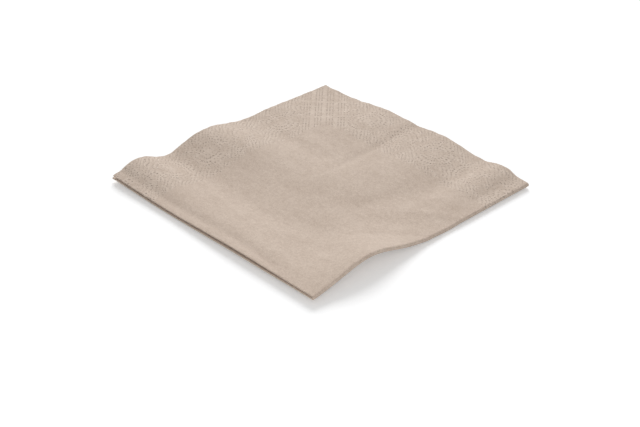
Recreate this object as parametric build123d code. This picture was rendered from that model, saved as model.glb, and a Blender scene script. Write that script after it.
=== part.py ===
# A square paper napkin folded in four, lying on a table.
# One sheet is folded in half, and the double strip that gives is folded in half again across
# the first fold. The closed corner, where both folds meet, is at +X, -Y. The first fold runs
# along the -Y side and the second along the +X side. The other two sides are open edges.
# The origin is on the table, under the middle of the napkin, and +Z is up.

from build123d import *
from collections import namedtuple
from math import cos, exp, pi, radians, sin
import os

# Driving dimensions, in millimetres
sheet_side = 330.0
sheet_thickness = 0.25
layer_gap = 0.40
second_fold_hollow = 0.35
inner_layer_setback = 0.8
lower_half_overhang = 1.0
table_press = 0.05
settled_air = 0.3
ridge_rise = 9.6

# The sheet keeps its waves. Each swell is a rounded rise: its place, measured from the two folds,
# and its reach, away from the second fold and along it, are shares of the folded side. It may be
# turned by some degrees, and its rise is a share of the ridge's
Swell = namedtuple("Swell", "from_second_fold from_first_fold reach_across reach_along turned rise")
swells = [
    Swell(0.27, 0.00, 0.33, 0.15, 0, 0.25),
    Swell(0.67, 0.09, 0.48, 0.08, 0, 0.14),
    Swell(1.00, 0.09, 0.21, 0.10, 0, 0.50),
    Swell(1.00, 0.40, 0.30, 0.12, 14, 0.64),
    Swell(0.58, 0.47, 0.36, 0.12, 6, 0.20),
    Swell(1.00, 0.73, 0.27, 0.19, 0, 0.24),
    Swell(0.47, 0.61, 0.18, 0.27, 12, 0.12),
    Swell(0.11, 1.00, 0.08, 0.30, 4, 0.40),
    Swell(0.38, 1.00, 0.13, 0.40, 12, 0.48),
    Swell(0.65, 1.00, 0.16, 0.30, 0, 0.44),
]

# The ridge that lifts the second fold has a sharp crest at the fold itself. Its place and its
# reach, along the fold and down the slope, are shares of the folded side too
ridge_place_share = 0.24
ridge_length_share = 0.16
ridge_slope_share = 0.15
ridge_sharpness = 1.3

# The share of the folded side within which the lower half still follows the ridge, and the share
# from which it lies quite flat
lower_half_follow_share = 0.20
lower_half_flat_share = 0.34

# How much the upper half's inner layer hangs away from the outer, as a share of the air under
# them, and the shares of the folded side beside each fold where the two still lie together
fan_share = 0.15
closed_share_by_second_fold = 0.20
closed_share_by_first_fold = 0.25

# How many spans the sheet's curves are drawn with, how many small flats go round each fold, and
# how far the spans crowd towards the folds
span_count_along = 16
upper_half_span_count = 20
lower_swell_span_count = 6
first_fold_span_count = 6
second_fold_span_count = 6
crowding_along = 1.3
crowding_across = 1.1

# Derived sizes: a pair is the two layers that the first fold joins
folded_side = sheet_side / 2
layer_pitch = sheet_thickness + layer_gap
pair_half = layer_pitch / 2 + sheet_thickness / 2
second_fold_radius = second_fold_hollow + pair_half
second_fold_axis = folded_side / 2 - second_fold_radius - pair_half
first_fold_axis = -folded_side / 2 + pair_half
upper_length = folded_side / 2 + second_fold_axis
lower_length = upper_length + lower_half_overhang
flat_from = lower_half_flat_share * folded_side
hair = 0.001


def nearness(distance, reach):
    """1 at a distance of nothing, and falling smoothly to 0 a few reaches away."""
    return exp(-((distance / reach) ** 2))


def rise_of(swell, across, along):
    """How high a swell stands at a place given in shares of the folded side."""
    turned = radians(swell.turned)
    off_second, off_first = across - swell.from_second_fold, along - swell.from_first_fold
    off_across = off_second * cos(turned) - off_first * sin(turned)
    off_along = off_second * sin(turned) + off_first * cos(turned)
    rise = swell.rise * nearness(off_across, swell.reach_across)
    return rise * nearness(off_along, swell.reach_along)


def ridge(across, along):
    """The share of its rise that the ridge has at a place given in shares of the folded side."""
    down_slope = exp(-((across / ridge_slope_share) ** ridge_sharpness))
    return down_slope * nearness(along - ridge_place_share, ridge_length_share)


def upper_lift(from_second_fold, from_first_fold):
    """How far the upper half stands above where it would be if it lay quite flat."""
    across, along = from_second_fold / folded_side, from_first_fold / folded_side
    rise = ridge(across, along) + sum(rise_of(swell, across, along) for swell in swells)
    return settled_air + ridge_rise * rise


def lower_lift(from_second_fold, from_first_fold):
    """The lower half lies flat, but for the ridge that lifts the second fold itself."""
    if from_second_fold >= flat_from:
        return 0
    across, along = from_second_fold / folded_side, from_first_fold / folded_side
    return ridge_rise * nearness(across, lower_half_follow_share) * ridge(across, along)


def upper_pair(from_second_fold, from_first_fold):
    """Height of the middle of the upper pair of layers."""
    flat = pair_half - table_press + 2 * second_fold_radius
    return flat + upper_lift(from_second_fold, from_first_fold)


def lower_pair(from_second_fold, from_first_fold):
    """Height of the middle of the lower pair of layers."""
    return pair_half - table_press + lower_lift(from_second_fold, from_first_fold)


def upper_fan(from_second_fold, from_first_fold):
    """How far the upper pair's inner layer hangs away from the outer, clear of both folds."""
    place = (from_second_fold, from_first_fold)
    air = upper_lift(*place) - lower_lift(*place)
    clear_of_second = 1 - nearness(from_second_fold / folded_side, closed_share_by_second_fold)
    clear_of_first = 1 - nearness(from_first_fold / folded_side, closed_share_by_first_fold)
    return fan_share * air * clear_of_second * clear_of_first


def no_fan(from_second_fold, from_first_fold):
    """The lower pair's layers lie together."""
    return 0


def graded(start, end, spans, crowding):
    """Places from start to end, closer together near the start."""
    return [start + (end - start) * (step / spans) ** crowding for step in range(spans + 1)]


def strip_section(point, opening):
    """The section of the once-folded strip: two layers and the first fold that joins them.

    point(at, y, offset) is the point at width y whose height is taken at width at, offset
    outwards from the middle of the pair, and opening(y) moves the inner layer inwards.
    """
    outer_side = graded(first_fold_axis, folded_side / 2, span_count_along, crowding_along)
    inner_end = folded_side / 2 - inner_layer_setback
    inner_side = graded(first_fold_axis, inner_end, span_count_along, crowding_along)
    near = layer_pitch / 2 - sheet_thickness / 2
    far = layer_pitch / 2 + sheet_thickness / 2

    def curve(points):
        """A straight line where the layer lies flat, and a smooth curve where it waves."""
        heights = [place.Z for place in points]
        if max(heights) == min(heights):
            return Edge.make_line(points[0], points[-1])
        even_steps = [step / span_count_along for step in range(span_count_along + 1)]
        return Edge.make_spline(points, parameters=even_steps)

    def outer_face(offset):
        return curve([point(y, y, offset) for y in outer_side])

    def inner_face(offset):
        return curve([point(y, y, -offset - opening(y)) for y in inner_side])

    def first_fold(radius):
        def at(turn):
            y = first_fold_axis - radius * sin(turn)
            return point(first_fold_axis, y, radius * cos(turn))

        step = pi / first_fold_span_count
        turns = [span * step for span in range(first_fold_span_count)]
        return [Edge.make_line(at(turn), at(turn + step)) for turn in turns]

    def cut_edge(start, end):
        return Edge.make_line(start @ 1, end @ 1)

    outer_far, outer_near = outer_face(far), outer_face(near)
    inner_far, inner_near = inner_face(far), inner_face(near)
    return Wire(
        [
            outer_far,
            *first_fold(far),
            inner_far,
            cut_edge(inner_far, inner_near),
            inner_near,
            *first_fold(near),
            outer_near,
            cut_edge(outer_near, outer_far),
        ]
    )


def flat_section(from_second_fold, height, fan, side):
    """Section of a half, square to the second fold's run, side is 1 for upper and -1 for lower."""

    def point(at, y, offset):
        middle = height(from_second_fold, at + folded_side / 2)
        return Vector(second_fold_axis - from_second_fold, y, middle + side * offset)

    def opening(y):
        return fan(from_second_fold, y - first_fold_axis)

    return strip_section(point, opening)


def turn_section(angle):
    """Section of the strip where it goes round the second fold."""

    def point(at, y, offset):
        top = upper_pair(0, at + folded_side / 2)
        bottom = lower_pair(0, at + folded_side / 2)
        radius = (top - bottom) / 2 + offset
        return Vector(
            second_fold_axis + radius * sin(angle), y, (top + bottom) / 2 + radius * cos(angle)
        )

    return strip_section(point, lambda y: 0)


def upper_half():
    """The upper pair, from the second fold to its open edge."""
    places = graded(0, upper_length, upper_half_span_count, crowding_across)
    sections = [flat_section(place, upper_pair, upper_fan, 1) for place in places]
    return Solid.make_loft(sections, ruled=True)


def second_fold():
    """The strip's turn, from the upper half round to the lower half."""
    angles = [pi * span / second_fold_span_count for span in range(second_fold_span_count + 1)]
    return Solid.make_loft([turn_section(angle) for angle in angles], ruled=True)


def lower_swell():
    """The part of the lower pair that rises with the second fold."""
    places = graded(0, flat_from, lower_swell_span_count, 1)
    sections = [flat_section(place, lower_pair, no_fan, -1) for place in places]
    return Solid.make_loft(sections, ruled=True)


def lower_flat():
    """The rest of the lower pair, flat on the table."""
    places = [flat_from, lower_length]
    return Solid.make_loft([flat_section(place, lower_pair, no_fan, -1) for place in places])


def skin(piece):
    """The faces of a piece, without those where it meets the next one."""
    joins = [second_fold_axis, second_fold_axis - flat_from]
    return [
        face
        for face in piece.faces()
        if face.bounding_box().size.X > hair
        or all(abs(face.center().X - join) > hair for join in joins)
    ]


def folded_napkin():
    """The whole sheet in one piece, with its underside pressed flat where it touches the table."""
    pieces = [upper_half(), second_fold(), lower_swell(), lower_flat()]
    sheet = Solid(Shell([face for piece in pieces for face in skin(piece)]))
    return sheet.split(Plane.XY, keep=Keep.TOP)


napkin = folded_napkin()
middle = napkin.bounding_box().center()
napkin = Pos(-middle.X, -middle.Y, 0) * napkin
napkin.label = "napkin"

os.makedirs("parts", exist_ok=True)
export_step(napkin, "parts/napkin.step")
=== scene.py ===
import bpy
import numpy as np
from math import cos, pi, radians, sin
from mathutils import Matrix, Vector


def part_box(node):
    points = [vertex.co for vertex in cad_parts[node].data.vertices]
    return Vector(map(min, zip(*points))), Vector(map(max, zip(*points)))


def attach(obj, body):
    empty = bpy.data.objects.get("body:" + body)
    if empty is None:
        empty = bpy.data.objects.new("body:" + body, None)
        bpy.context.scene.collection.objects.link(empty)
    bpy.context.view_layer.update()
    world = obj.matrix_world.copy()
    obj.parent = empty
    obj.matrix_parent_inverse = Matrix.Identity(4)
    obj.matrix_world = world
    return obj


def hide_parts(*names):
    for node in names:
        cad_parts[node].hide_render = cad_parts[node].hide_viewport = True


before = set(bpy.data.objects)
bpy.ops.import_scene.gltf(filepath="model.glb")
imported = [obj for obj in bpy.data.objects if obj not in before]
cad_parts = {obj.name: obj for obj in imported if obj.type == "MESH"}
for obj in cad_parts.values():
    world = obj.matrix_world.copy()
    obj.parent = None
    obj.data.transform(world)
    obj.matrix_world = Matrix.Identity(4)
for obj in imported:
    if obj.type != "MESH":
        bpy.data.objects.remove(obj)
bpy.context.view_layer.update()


# The napkin: one square of two-ply unbleached tissue, its border embossed with rows of tiny pits.
# It is folded in half twice and held by nothing but its creases, so the four layers lie loosely
# on each other and the top ones keep the waves that they took in the packet.
mm = 0.001
folded_side = 165
tissue_thickness = 0.25 * mm
# From a fold's middle to the middle of the tissue, and to the middle of the two layers together
first_fold_radius = 0.325 * mm
second_fold_radius = 0.80 * mm
inner_layer_setback = 0.8 * mm
lower_half_overhang = 1.0 * mm

node_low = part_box("napkin")[0]
half_side = folded_side * mm
pair_half = first_fold_radius + tissue_thickness / 2
upper_length = half_side - pair_half - second_fold_radius
outer_length = half_side - pair_half
second_fold_x = node_low.x + lower_half_overhang + upper_length
first_fold_y = node_low.y + pair_half
first_arc = first_fold_radius * pi / 2
second_arc = second_fold_radius * pi / 2

# Broad waves, in millimetres and degrees: distance from the second and from the first fold, the
# reach in both directions, how far the wave is turned, and its rise
waves = [
    (45, 0, 55, 24, 0, 2.4),
    (27, 25, 17, 16, 0, -1.5),
    (110, 15, 80, 13, 0, 1.3),
    (165, 17, 34, 16, 0, 4.8),
    (165, 37, 30, 8, 0, -0.6),
    (165, 66, 50, 20, 14, 6.2),
    (95, 78, 60, 20, 6, 1.6),
    (165, 120, 45, 32, 0, 2.3),
    (78, 100, 30, 45, 12, 1.2),
    (19, 165, 13, 50, 4, 3.9),
    (62, 165, 22, 66, 12, 4.6),
    (108, 165, 26, 50, 0, 4.3),
    (165, 165, 20, 20, 0, 1.0),
]
# The swell that lifts the second fold is a ridge with a sharp crest, not a rounded wave: its
# distance from the first fold, its reach along the second and down the slope, how sharp its crest
# is, and its rise
ridge_place = 39
ridge_reach = 27
ridge_slope_reach = 25
ridge_sharpness = 1.3
ridge_rise = 9.6
# Creases, in millimetres: the places that the line passes, its half width and its rise
creases = [
    ([(84.5, 168), (84.5, 140), (84, 115), (83, 99)], 3.0, -0.5),
    ([(90.5, 168), (90.5, 140), (90, 118)], 4.5, 0.35),
    ([(168, 5.5), (110, 5), (82, 6), (55, 5.5), (33, 3.5)], 2.6, -0.6),
    ([(168, 12.5), (110, 12.5), (55, 12.5), (25, 10)], 5.0, 0.35),
    ([(22, 31), (26, 37), (30, 50), (16, 67), (0, 82)], 2.6, -0.35),
    ([(36, 34), (40, 54), (24, 78), (4, 97)], 9.0, -0.5),
    ([(27, 168), (28, 146), (31, 118), (38, 98), (46, 76)], 8.0, -0.8),
    ([(33, 122), (40, 98), (48, 74)], 12.0, -0.4),
    ([(68, 112), (76, 80)], 11.0, 0.7),
    ([(24, 93), (3, 108)], 3.0, 0.35),
    ([(7, 168), (7, 128)], 4.5, -0.6),
    ([(162, 100), (128, 99), (98, 98)], 5.5, -0.5),
    ([(162, 109), (128, 108), (98, 106)], 4.0, 0.2),
    ([(168, 36), (140, 38), (112, 39), (80, 38), (60, 39), (40, 44)], 9.0, -1.15),
    ([(117, 168), (116, 130)], 5.0, -0.35),
]
# The air that the top keeps under it all over, in millimetres
settled_air = 0.3

# How near the second fold, the first fold and the open edges the lower half follows the upper
# half's lift, in millimetres, and the share of it that it takes at the first fold and the edges
follow_by_second_fold = 32
follow_by_first_fold = 16
follow_by_open_edges = 22
share_by_first_fold = 0.7
share_by_open_edges = 0.3
# The upper inner layer sags by a share of the air under it, except near the first fold, and the
# lower inner layer bulges by a share of that sag
upper_sag_share = 0.30
lower_bulge_share = 0.35
no_sag_by_first_fold = 40
# Ripples of the tissue, and the frill of its open edges: the seed of the random draws, the
# shortest and the longest ripple, how many there are, and their rise, in millimetres. The frill
# fades within a few millimetres of the edge
ripples = [(5, (9, 26), 20, 0.10), (9, (4, 8), 20, 0.05)]
edge_frill = (3, (5, 12), 9, 0.14)
frill_reach = 4
# How near the folds the ripples and the frill are held down, in millimetres, the share of the
# ripples that the first fold holds down, and the share of both that the lower inner layer has
no_ripples_by_second_fold = 10
no_ripples_by_first_fold = 8
held_by_first_fold = 0.7
no_frill_by_second_fold = 6
lower_ripple_share = 0.3
# The inner layers' open edge wanders out of line by this much, in a slow wave: the pace is in
# millimetres to a radian
inner_drift = 0.35 * mm
inner_drift_pace = 21


def nearness(distance, reach):
    """1 at a distance of nothing, and falling smoothly to 0 a few reaches away."""
    return np.exp(-((distance / reach) ** 2))


def near_line(across, along, places, width):
    """1 on the line through the places and 0 a few widths away, with ends that fade."""
    nearest = np.full(across.shape, np.inf)
    for (u0, v0), (u1, v1) in zip(places, places[1:]):
        run = np.hypot(u1 - u0, v1 - v0)
        reached = ((across - u0) * (u1 - u0) + (along - v0) * (v1 - v0)) / run**2
        reached = np.clip(reached, 0, 1)
        gap = np.hypot(across - u0 - reached * (u1 - u0), along - v0 - reached * (v1 - v0))
        nearest = np.minimum(nearest, gap)
    return nearness(nearest, width)


def cockle(across, along, seed, lengths, count, rise):
    """The small unevenness of tissue that has been damp and dried: many faint ripples, in mm."""
    chance = np.random.default_rng(seed)
    total = np.zeros(across.shape)
    for _ in range(count):
        heading, phase = chance.uniform(0, 2 * pi, 2)
        length = chance.uniform(*lengths)
        total += np.sin((across * cos(heading) + along * sin(heading)) * 2 * pi / length + phase)
    return rise * total / np.sqrt(count)


def lift(across, along):
    """How far the top stands above where it would be if the napkin lay quite flat, in mm."""
    rise = np.full(across.shape, settled_air)
    for u, v, reach_u, reach_v, turned, height in waves:
        turn_cos, turn_sin = cos(radians(turned)), sin(radians(turned))
        off_u = (across - u) * turn_cos - (along - v) * turn_sin
        off_v = (across - u) * turn_sin + (along - v) * turn_cos
        rise += height * nearness(off_u, reach_u) * nearness(off_v, reach_v)
    crest = nearness(along - ridge_place, ridge_reach)
    rise += ridge_rise * crest * np.exp(-((across / ridge_slope_reach) ** ridge_sharpness))
    for places, width, height in creases:
        rise += height * near_line(across, along, places, width)
    return rise


def follow(across, along):
    """The share of the lift that the lower half takes: all of it at the second fold, most of it at
    the first, a little at the open edges and none in the middle."""
    off_second_fold = 1 - nearness(across, follow_by_second_fold)
    off_first_fold = 1 - share_by_first_fold * nearness(along, follow_by_first_fold)
    inside = 1 - nearness(folded_side - across, follow_by_open_edges)
    inside *= 1 - nearness(folded_side - along, follow_by_open_edges)
    off_open_edges = 1 - share_by_open_edges * (1 - inside)
    return 1 - off_second_fold * off_first_fold * off_open_edges


def unevenness(across, along):
    """The ripples of the whole sheet and the frill of its open edges, in mm."""
    ripple = sum(cockle(across, along, *kind) for kind in ripples)
    ripple *= 1 - nearness(across, no_ripples_by_second_fold)
    ripple *= 1 - held_by_first_fold * nearness(along, no_ripples_by_first_fold)
    to_edge = np.minimum(upper_length / mm - across, outer_length / mm - along)
    frill = cockle(across, along, *edge_frill) * np.exp(-np.maximum(to_edge, 0) / frill_reach)
    frill *= 1 - nearness(across, no_frill_by_second_fold)
    return ripple + frill


def folded(flat_across, flat_along):
    """The place of a point of the flat sheet once it is folded, in metres.

    The flat sheet is measured from its middle. The quarter where both are positive is on top.
    """
    turn_one = np.clip(flat_along / first_fold_radius, -pi / 2, pi / 2)
    past_one = np.maximum(np.abs(flat_along) - first_arc, 0)
    turn_two = np.clip(flat_across / second_fold_radius, -pi / 2, pi / 2)
    past_two = np.maximum(np.abs(flat_across) - second_arc, 0)
    inner = flat_along < 0
    lower = flat_across < 0
    in_turn = np.abs(flat_across) < second_arc

    across, along = past_two / mm, past_one / mm
    rise = lift(across, along) * mm
    lower_rise = follow(across, along) * rise
    uneven = unevenness(across, along) * mm
    offset = first_fold_radius * np.sin(turn_one)
    sag = upper_sag_share * (rise - lower_rise) * (1 - nearness(along, no_sag_by_first_fold))
    bulge = lower_bulge_share * sag + lower_ripple_share * uneven

    top = 2 * second_fold_radius + rise + uneven + offset - np.where(inner, sag, 0)
    bottom = lower_rise - offset + np.where(inner, bulge, 0)
    z_flat = pair_half + np.where(lower, bottom, top)
    radius = second_fold_radius + offset
    z_turn = pair_half + rise + second_fold_radius + radius * np.sin(turn_two)
    z = np.where(in_turn, z_turn, z_flat)

    x = second_fold_x - past_two + np.where(in_turn, radius * np.cos(turn_two), 0)
    drift = inner_drift * np.sin(across / inner_drift_pace + 1) * past_one / half_side
    y = first_fold_y + past_one - first_fold_radius * np.cos(turn_one) + np.where(inner, drift, 0)
    return x, y, np.maximum(z, tissue_thickness / 2)


# The mesh has one row for each place along the sheet: close together at the folds, and further
# apart on the inner and lower layers than on top
fine_step = 0.25 * mm
top_step = 1.25 * mm
hidden_step = 3.2 * mm
rows_round_fold = 9


def graded(start, end, coarse):
    """Places from start to end, a fine step apart beside the fold and a coarse one elsewhere."""
    places = [start]
    step = fine_step
    while places[-1] + step < end:
        places.append(places[-1] + step)
        step = min(step * 1.4, coarse)
    return np.array(places[:-1] + [end])


def sheet_lines(top_end, hidden_end, arc):
    """The places of the mesh's rows: hidden side, round the fold, top side."""
    top = graded(arc, arc + top_end, top_step)
    hidden = graded(arc, arc + hidden_end, hidden_step)
    turn = np.linspace(-arc, arc, rows_round_fold + 2)[1:-1]
    return np.concatenate([-hidden[::-1], turn, top])


across_lines = sheet_lines(upper_length, upper_length + lower_half_overhang, second_arc)
along_lines = sheet_lines(outer_length, outer_length - inner_layer_setback, first_arc)
flat_across, flat_along = np.meshgrid(across_lines, along_lines, indexing="ij")
corners = np.stack(folded(flat_across, flat_along), axis=-1).reshape(-1, 3)
rows, columns = flat_across.shape
number = np.arange(rows * columns).reshape(rows, columns)
faces = np.stack(
    [number[:-1, :-1], number[1:, :-1], number[1:, 1:], number[:-1, 1:]], axis=-1
).reshape(-1, 4)

mesh = bpy.data.meshes.new("napkin_sheet")
mesh.from_pydata(corners.tolist(), [], faces.tolist())
laid_flat = mesh.uv_layers.new(name="laid_flat")
flat = np.stack([flat_across.ravel(), flat_along.ravel()], axis=-1) / (2 * half_side) + 0.5
corner_of_loop = np.zeros(len(mesh.loops), dtype=np.int32)
mesh.loops.foreach_get("vertex_index", corner_of_loop)
laid_flat.data.foreach_set("uv", flat[corner_of_loop].astype(np.float32).ravel())
napkin = bpy.data.objects.new("napkin_sheet", mesh)
bpy.context.scene.collection.objects.link(napkin)

bpy.ops.object.select_all(action="DESELECT")
bpy.context.view_layer.objects.active = napkin
napkin.select_set(True)
plies = napkin.modifiers.new("two_plies", "SOLIDIFY")
plies.thickness = tissue_thickness
plies.offset = 0
plies.use_even_offset = True
bpy.ops.object.modifier_apply(modifier=plies.name)
bpy.ops.object.shade_smooth_by_angle(angle=radians(50))


class Value:
    """A number that changes over a surface. Sums and products of values add their Math nodes."""

    def __init__(self, tree, socket=None):
        self.tree = tree
        self.socket = socket

    def feed(self, socket):
        """Links this value to a socket of a shader or of another node."""
        self.tree.links.new(self.socket, socket)

    def node(self, kind, settings=None, inputs=None, output=0):
        """Any other node: its type, its settings, and what its sockets hold or are linked to."""
        made = self.tree.nodes.new(kind)
        for name, setting in (settings or {}).items():
            setattr(made, name, setting)
        for name, held in (inputs or {}).items():
            if isinstance(held, Value):
                held.feed(made.inputs[name])
            else:
                made.inputs[name].default_value = held
        return Value(self.tree, made.outputs[output])

    def math(self, operation, *others):
        numbers = dict(enumerate((self, *others)))
        return self.node("ShaderNodeMath", {"operation": operation}, numbers)

    def __add__(self, other):
        return self.math("ADD", other)

    def __radd__(self, other):
        return self.math("ADD", other)

    def __sub__(self, other):
        return self.math("SUBTRACT", other)

    def __rsub__(self, other):
        return (self * -1) + other

    def __mul__(self, other):
        return self.math("MULTIPLY", other)

    def __rmul__(self, other):
        return self.math("MULTIPLY", other)

    def __truediv__(self, other):
        return self.math("DIVIDE", other)

    def seen_directly(self):
        """1 where the camera sees a thing itself, or its image in metal or through glass."""
        rays = ("Is Camera Ray", "Is Glossy Ray", "Is Transmission Ray")
        camera, glossy, through = [self.node("ShaderNodeLightPath", output=ray) for ray in rays]
        return camera.math("MAXIMUM", glossy).math("MAXIMUM", through)

    def along(self, axis):
        """One number of a place."""
        return self.node("ShaderNodeSeparateXYZ", {}, {"Vector": self}, output=axis)

    def stretched(self, scale, turned=0):
        """A place with its pattern squeezed by a scale each way, and turned."""
        inputs = {"Vector": self, "Scale": (*scale, 1), "Rotation": (0, 0, turned)}
        return self.node("ShaderNodeMapping", {}, inputs)

    def noise(self, scale, detail, roughness=0.5, distortion=0):
        """Noise over a place, from 0 to 1."""
        inputs = {"Vector": self, "Scale": scale, "Detail": detail, "Roughness": roughness}
        inputs["Distortion"] = distortion
        return self.node("ShaderNodeTexNoise", {}, inputs)

    def wave(self, length):
        """A cosine that repeats at that length."""
        return (self * (2 * pi / length)).math("COSINE")

    def fade(self, low, high):
        """0 below low, 1 above high, and smooth between."""
        settings = {"interpolation_type": "SMOOTHSTEP"}
        return self.node("ShaderNodeMapRange", settings, {0: self, 1: low, 2: high, 3: 0.0, 4: 1.0})

    def blend(self, none, full):
        """A colour from none, where this is 0, to full, where it is 1."""
        inputs = {0: self, 6: none, 7: full}
        return self.node("ShaderNodeMix", {"data_type": "RGBA"}, inputs, output=2)


tissue = bpy.data.materials.new("unbleached_tissue")
tissue.use_nodes = True
tissue_tree = tissue.node_tree
tissue_surface = tissue_tree.nodes["Principled BSDF"]

# Distances on the flat sheet, in millimetres: from its middle both ways, then in from the nearest
# edge and along that edge
flat_place = Value(tissue_tree).node("ShaderNodeUVMap", {"uv_map": "laid_flat"})
from_middle_a, from_middle_b = [
    ((flat_place.along(axis) - 0.5) * (2 * folded_side)).math("ABSOLUTE") for axis in "XY"
]
depth = folded_side - from_middle_a.math("MAXIMUM", from_middle_b)
run = from_middle_a.math("MINIMUM", from_middle_b)

# Cloudy fibre, thicker and thinner, from coarse to fine, each either side of 0
cloud = flat_place.noise(14, 5, 0.6) - 0.5
patch = flat_place.noise(48, 3, 0.6) - 0.5
floc = flat_place.noise(150, 4, 0.7) - 0.5
grain = flat_place.noise(430, 2, 0.6) - 0.5
# Long fibres that show darker, and the fine crepe of the tissue
fibre = flat_place.stretched((160, 900), turned=0.5).noise(1, 2, distortion=1.2)
crepe = flat_place.stretched((700, 90)).noise(1, 2)

# The embossed border, with a rounded inner corner, starts a little inside the cut edge
corner_centre = 120
corner_radius = 8
past_a = (from_middle_a - corner_centre).math("MAXIMUM", 0.0)
past_b = (from_middle_b - corner_centre).math("MAXIMUM", 0.0)
from_plain = (past_a * past_a + past_b * past_b).math("SQRT") - corner_radius
border = from_plain.fade(-0.4, 0.6) * depth.fade(0.8, 1.6)

# Pits in rings round centres that stand in a row along the border, not quite true
ring_spacing = 27.5
ring_centre_depth = 18.5
ring_pitch = 2.7
ring_run = (run + ring_spacing / 2).math("MODULO", ring_spacing) - ring_spacing / 2 + patch * 6
ring_depth = depth - ring_centre_depth + cloud * 6 + floc * 2.2
from_centre = (ring_run * ring_run + ring_depth * ring_depth).math("SQRT")
ring_number = (from_centre / ring_pitch + 0.5).math("FLOOR")
heading = ring_depth.math("ARCTAN2", ring_run)
more_pits_a_ring = 9
rings = from_centre.wave(ring_pitch) + (heading * ring_number * more_pits_a_ring).math("COSINE")
# There are none close to a centre, and past the rings they stand in a diagonal lattice
rings = rings - 2 * (1 - from_centre.fade(1.5, 3.0))
lattice = (ring_run + ring_depth).wave(2.7) + (ring_run - ring_depth).wave(2.2)
in_ring = 1 - from_centre.fade(12.0, 12.4)
along_side = rings * in_ring + lattice * (1 - in_ring)
# At the corners, they stand in columns between plain stripes
stripe_spacing = 7.0
diagonal = 0.7071
skew = (from_middle_a - from_middle_b) * diagonal
drop = (from_middle_a + from_middle_b) * diagonal
stripe = skew.wave(stripe_spacing).fade(0.6, 0.9)
cross_stripe = drop.wave(stripe_spacing).fade(0.7, 0.93)
columns_of_pits = skew.wave(1.75) + drop.wave(2.1) - 4 * stripe - 2 * cross_stripe
in_corner = 1 - skew.math("ABSOLUTE").fade(12.5, 13.5)
plain_stripes = stripe * in_corner * border
pits = along_side * (1 - in_corner) + columns_of_pits * in_corner
pits = pits.fade(0.6, 1.9) * border * (1.0 + in_corner * 0.4)
# The press marks the tissue more here and less there: deeper pits, with darker painted shade in
# them
press_strength = (floc * 4 + patch * 3).fade(-0.8, 0.8) * 2

dark_tissue = (0.505, 0.395, 0.315, 1)
pale_tissue = (0.680, 0.562, 0.470, 1)
dark_fibre = (0.42, 0.32, 0.24, 1)
relief_height = 0.22 * mm
tone = 0.53 + cloud * 0.6 + patch * 0.6 + floc * 1.5 + grain * 1.7
# The pits are darker partly because the fibre is pressed, and partly because of painted shade in
# them
tone = tone + border * (0.19 + patch) + plain_stripes * 0.05 - pits * press_strength * 0.45
colour = tone.blend(dark_tissue, pale_tissue)
colour = (fibre.fade(0.66, 0.76) * 0.5).blend(colour, dark_fibre)
colour.feed(tissue_surface.inputs["Base Color"])
relief = crepe * 0.25 + floc * 0.5 - pits * press_strength * 1.3
bumped = {"Height": relief, "Strength": 0.8, "Distance": relief_height}
relief.node("ShaderNodeBump", {}, bumped).feed(tissue_surface.inputs["Normal"])
tissue_surface.inputs["Roughness"].default_value = 0.92
tissue_surface.inputs["Specular IOR Level"].default_value = 0.2
tissue_surface.inputs["Sheen Weight"].default_value = 0.12
tissue_surface.inputs["Sheen Roughness"].default_value = 0.6
napkin.data.materials.append(tissue)

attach(napkin, "root")
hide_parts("napkin")


# The table top that the napkin lies on: plain, matt and white, so that the picture's ground is
# white and only the shadow under the edges shows. Further off, it runs into the white surround.
bpy.ops.object.select_all(action="DESELECT")
bpy.ops.mesh.primitive_plane_add(size=6, location=(0, 0, -0.0001))
table_top = bpy.context.object
table_top.name = "table_top"
white = bpy.data.materials.new("white_ground")
white.use_nodes = True
white_tree = white.node_tree
white_surface = white_tree.nodes["Principled BSDF"]
white_surface.inputs["Base Color"].default_value = (0.90, 0.90, 0.90, 1)
white_surface.inputs["Roughness"].default_value = 1.0
white_surface.inputs["Specular IOR Level"].default_value = 0.0
white_surface.inputs["Emission Color"].default_value = (1, 1, 1, 1)
ground = Value(white_tree)
seen = ground.seen_directly()
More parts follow.
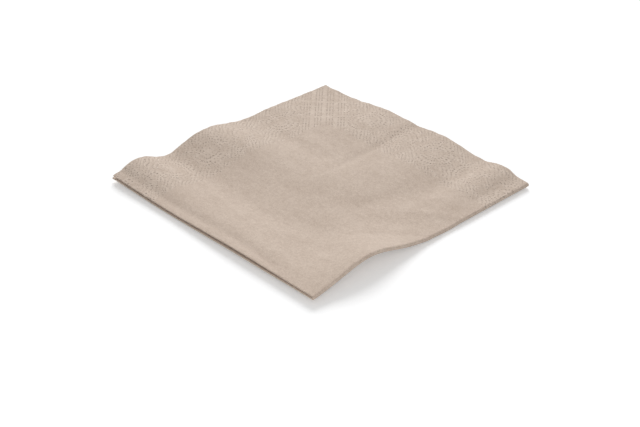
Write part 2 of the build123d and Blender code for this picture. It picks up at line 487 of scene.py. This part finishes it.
# The camera sees the table this much brighter than the light leaves it, so that it looks white
whitening = 0.26
(seen * whitening).feed(white_surface.inputs["Emission Strength"])
place = ground.node("ShaderNodeTexCoord", output="Object")
from_napkin = ground.node("ShaderNodeVectorMath", {"operation": "LENGTH"}, {0: place}, "Value")
far_off = seen * from_napkin.fade(0.25, 0.9)
near_table = Value(white_tree, white_surface.outputs[0])
plain_white = ground.node("ShaderNodeEmission", {}, {"Color": (1, 1, 1, 1), "Strength": 1.0})
table_shader = ground.node("ShaderNodeMixShader", {}, {0: far_off, 1: near_table, 2: plain_white})
table_shader.feed(white_tree.nodes["Material Output"].inputs["Surface"])
table_top.data.materials.append(white)


# The light of a plain studio: an even white surround, one large soft lamp, high and behind, and
# a faint small one in front, for the sides of the folds.
surround_light = 0.35
surround = bpy.data.worlds.new("white_surround")
bpy.context.scene.world = surround
surround.use_nodes = True
surround_tree = surround.node_tree
background = surround_tree.nodes["Background"]
background.inputs["Color"].default_value = (1, 1, 1, 1)
even_light = Value(surround_tree).seen_directly() * (1 - surround_light) + surround_light
even_light.feed(background.inputs["Strength"])

for name, lamp_from, distance, size, energy, lamp_colour in (
    ("soft_lamp", (-1.06, 1.01, 1.0), 3.0, 2.2, 81, (0.99, 1.0, 1.01)),
    ("front_fill", (0.72, -0.68, 0.5), 0.7, 0.5, 1.3, (1.0, 1.0, 1.0)),
):
    lamp_from = Vector(lamp_from).normalized()
    bpy.ops.object.light_add(type="AREA", location=lamp_from * distance)
    lamp = bpy.context.object
    lamp.name = name
    lamp.data.shape = "DISK"
    lamp.data.size = size
    lamp.data.energy = energy
    lamp.data.color = lamp_colour
    lamp.rotation_euler = (-lamp_from).to_track_quat("-Z", "Y").to_euler()


# The camera stands where the photograph was taken from, over the closed corner. It looks at the
# napkin's middle, and is then slid a little in its own plane to frame the napkin as there.
azimuth, elevation = radians(46.66), radians(31.773)
camera_distance = 0.79705
slid_left = 0.00022
slid_down = 0.020066
middle_height = 4.85 * mm
towards_eye = Vector(
    (sin(azimuth) * cos(elevation), -cos(azimuth) * cos(elevation), sin(elevation))
)
rightwards = Vector((cos(azimuth), sin(azimuth), 0))
upwards = towards_eye.cross(rightwards)
looked_at = Vector((node_low.x + lower_half_overhang + half_side / 2, 0, middle_height))
eye = looked_at + towards_eye * camera_distance - rightwards * slid_left - upwards * slid_down
bpy.ops.object.camera_add(location=eye)
camera = bpy.context.object
camera.name = "camera"
camera.data.lens = 80
camera.data.sensor_width = 36
camera.rotation_euler = Matrix((rightwards, upwards, towards_eye)).transposed().to_euler()
bpy.context.scene.camera = camera
bpy.context.scene.view_settings.view_transform = "Standard"
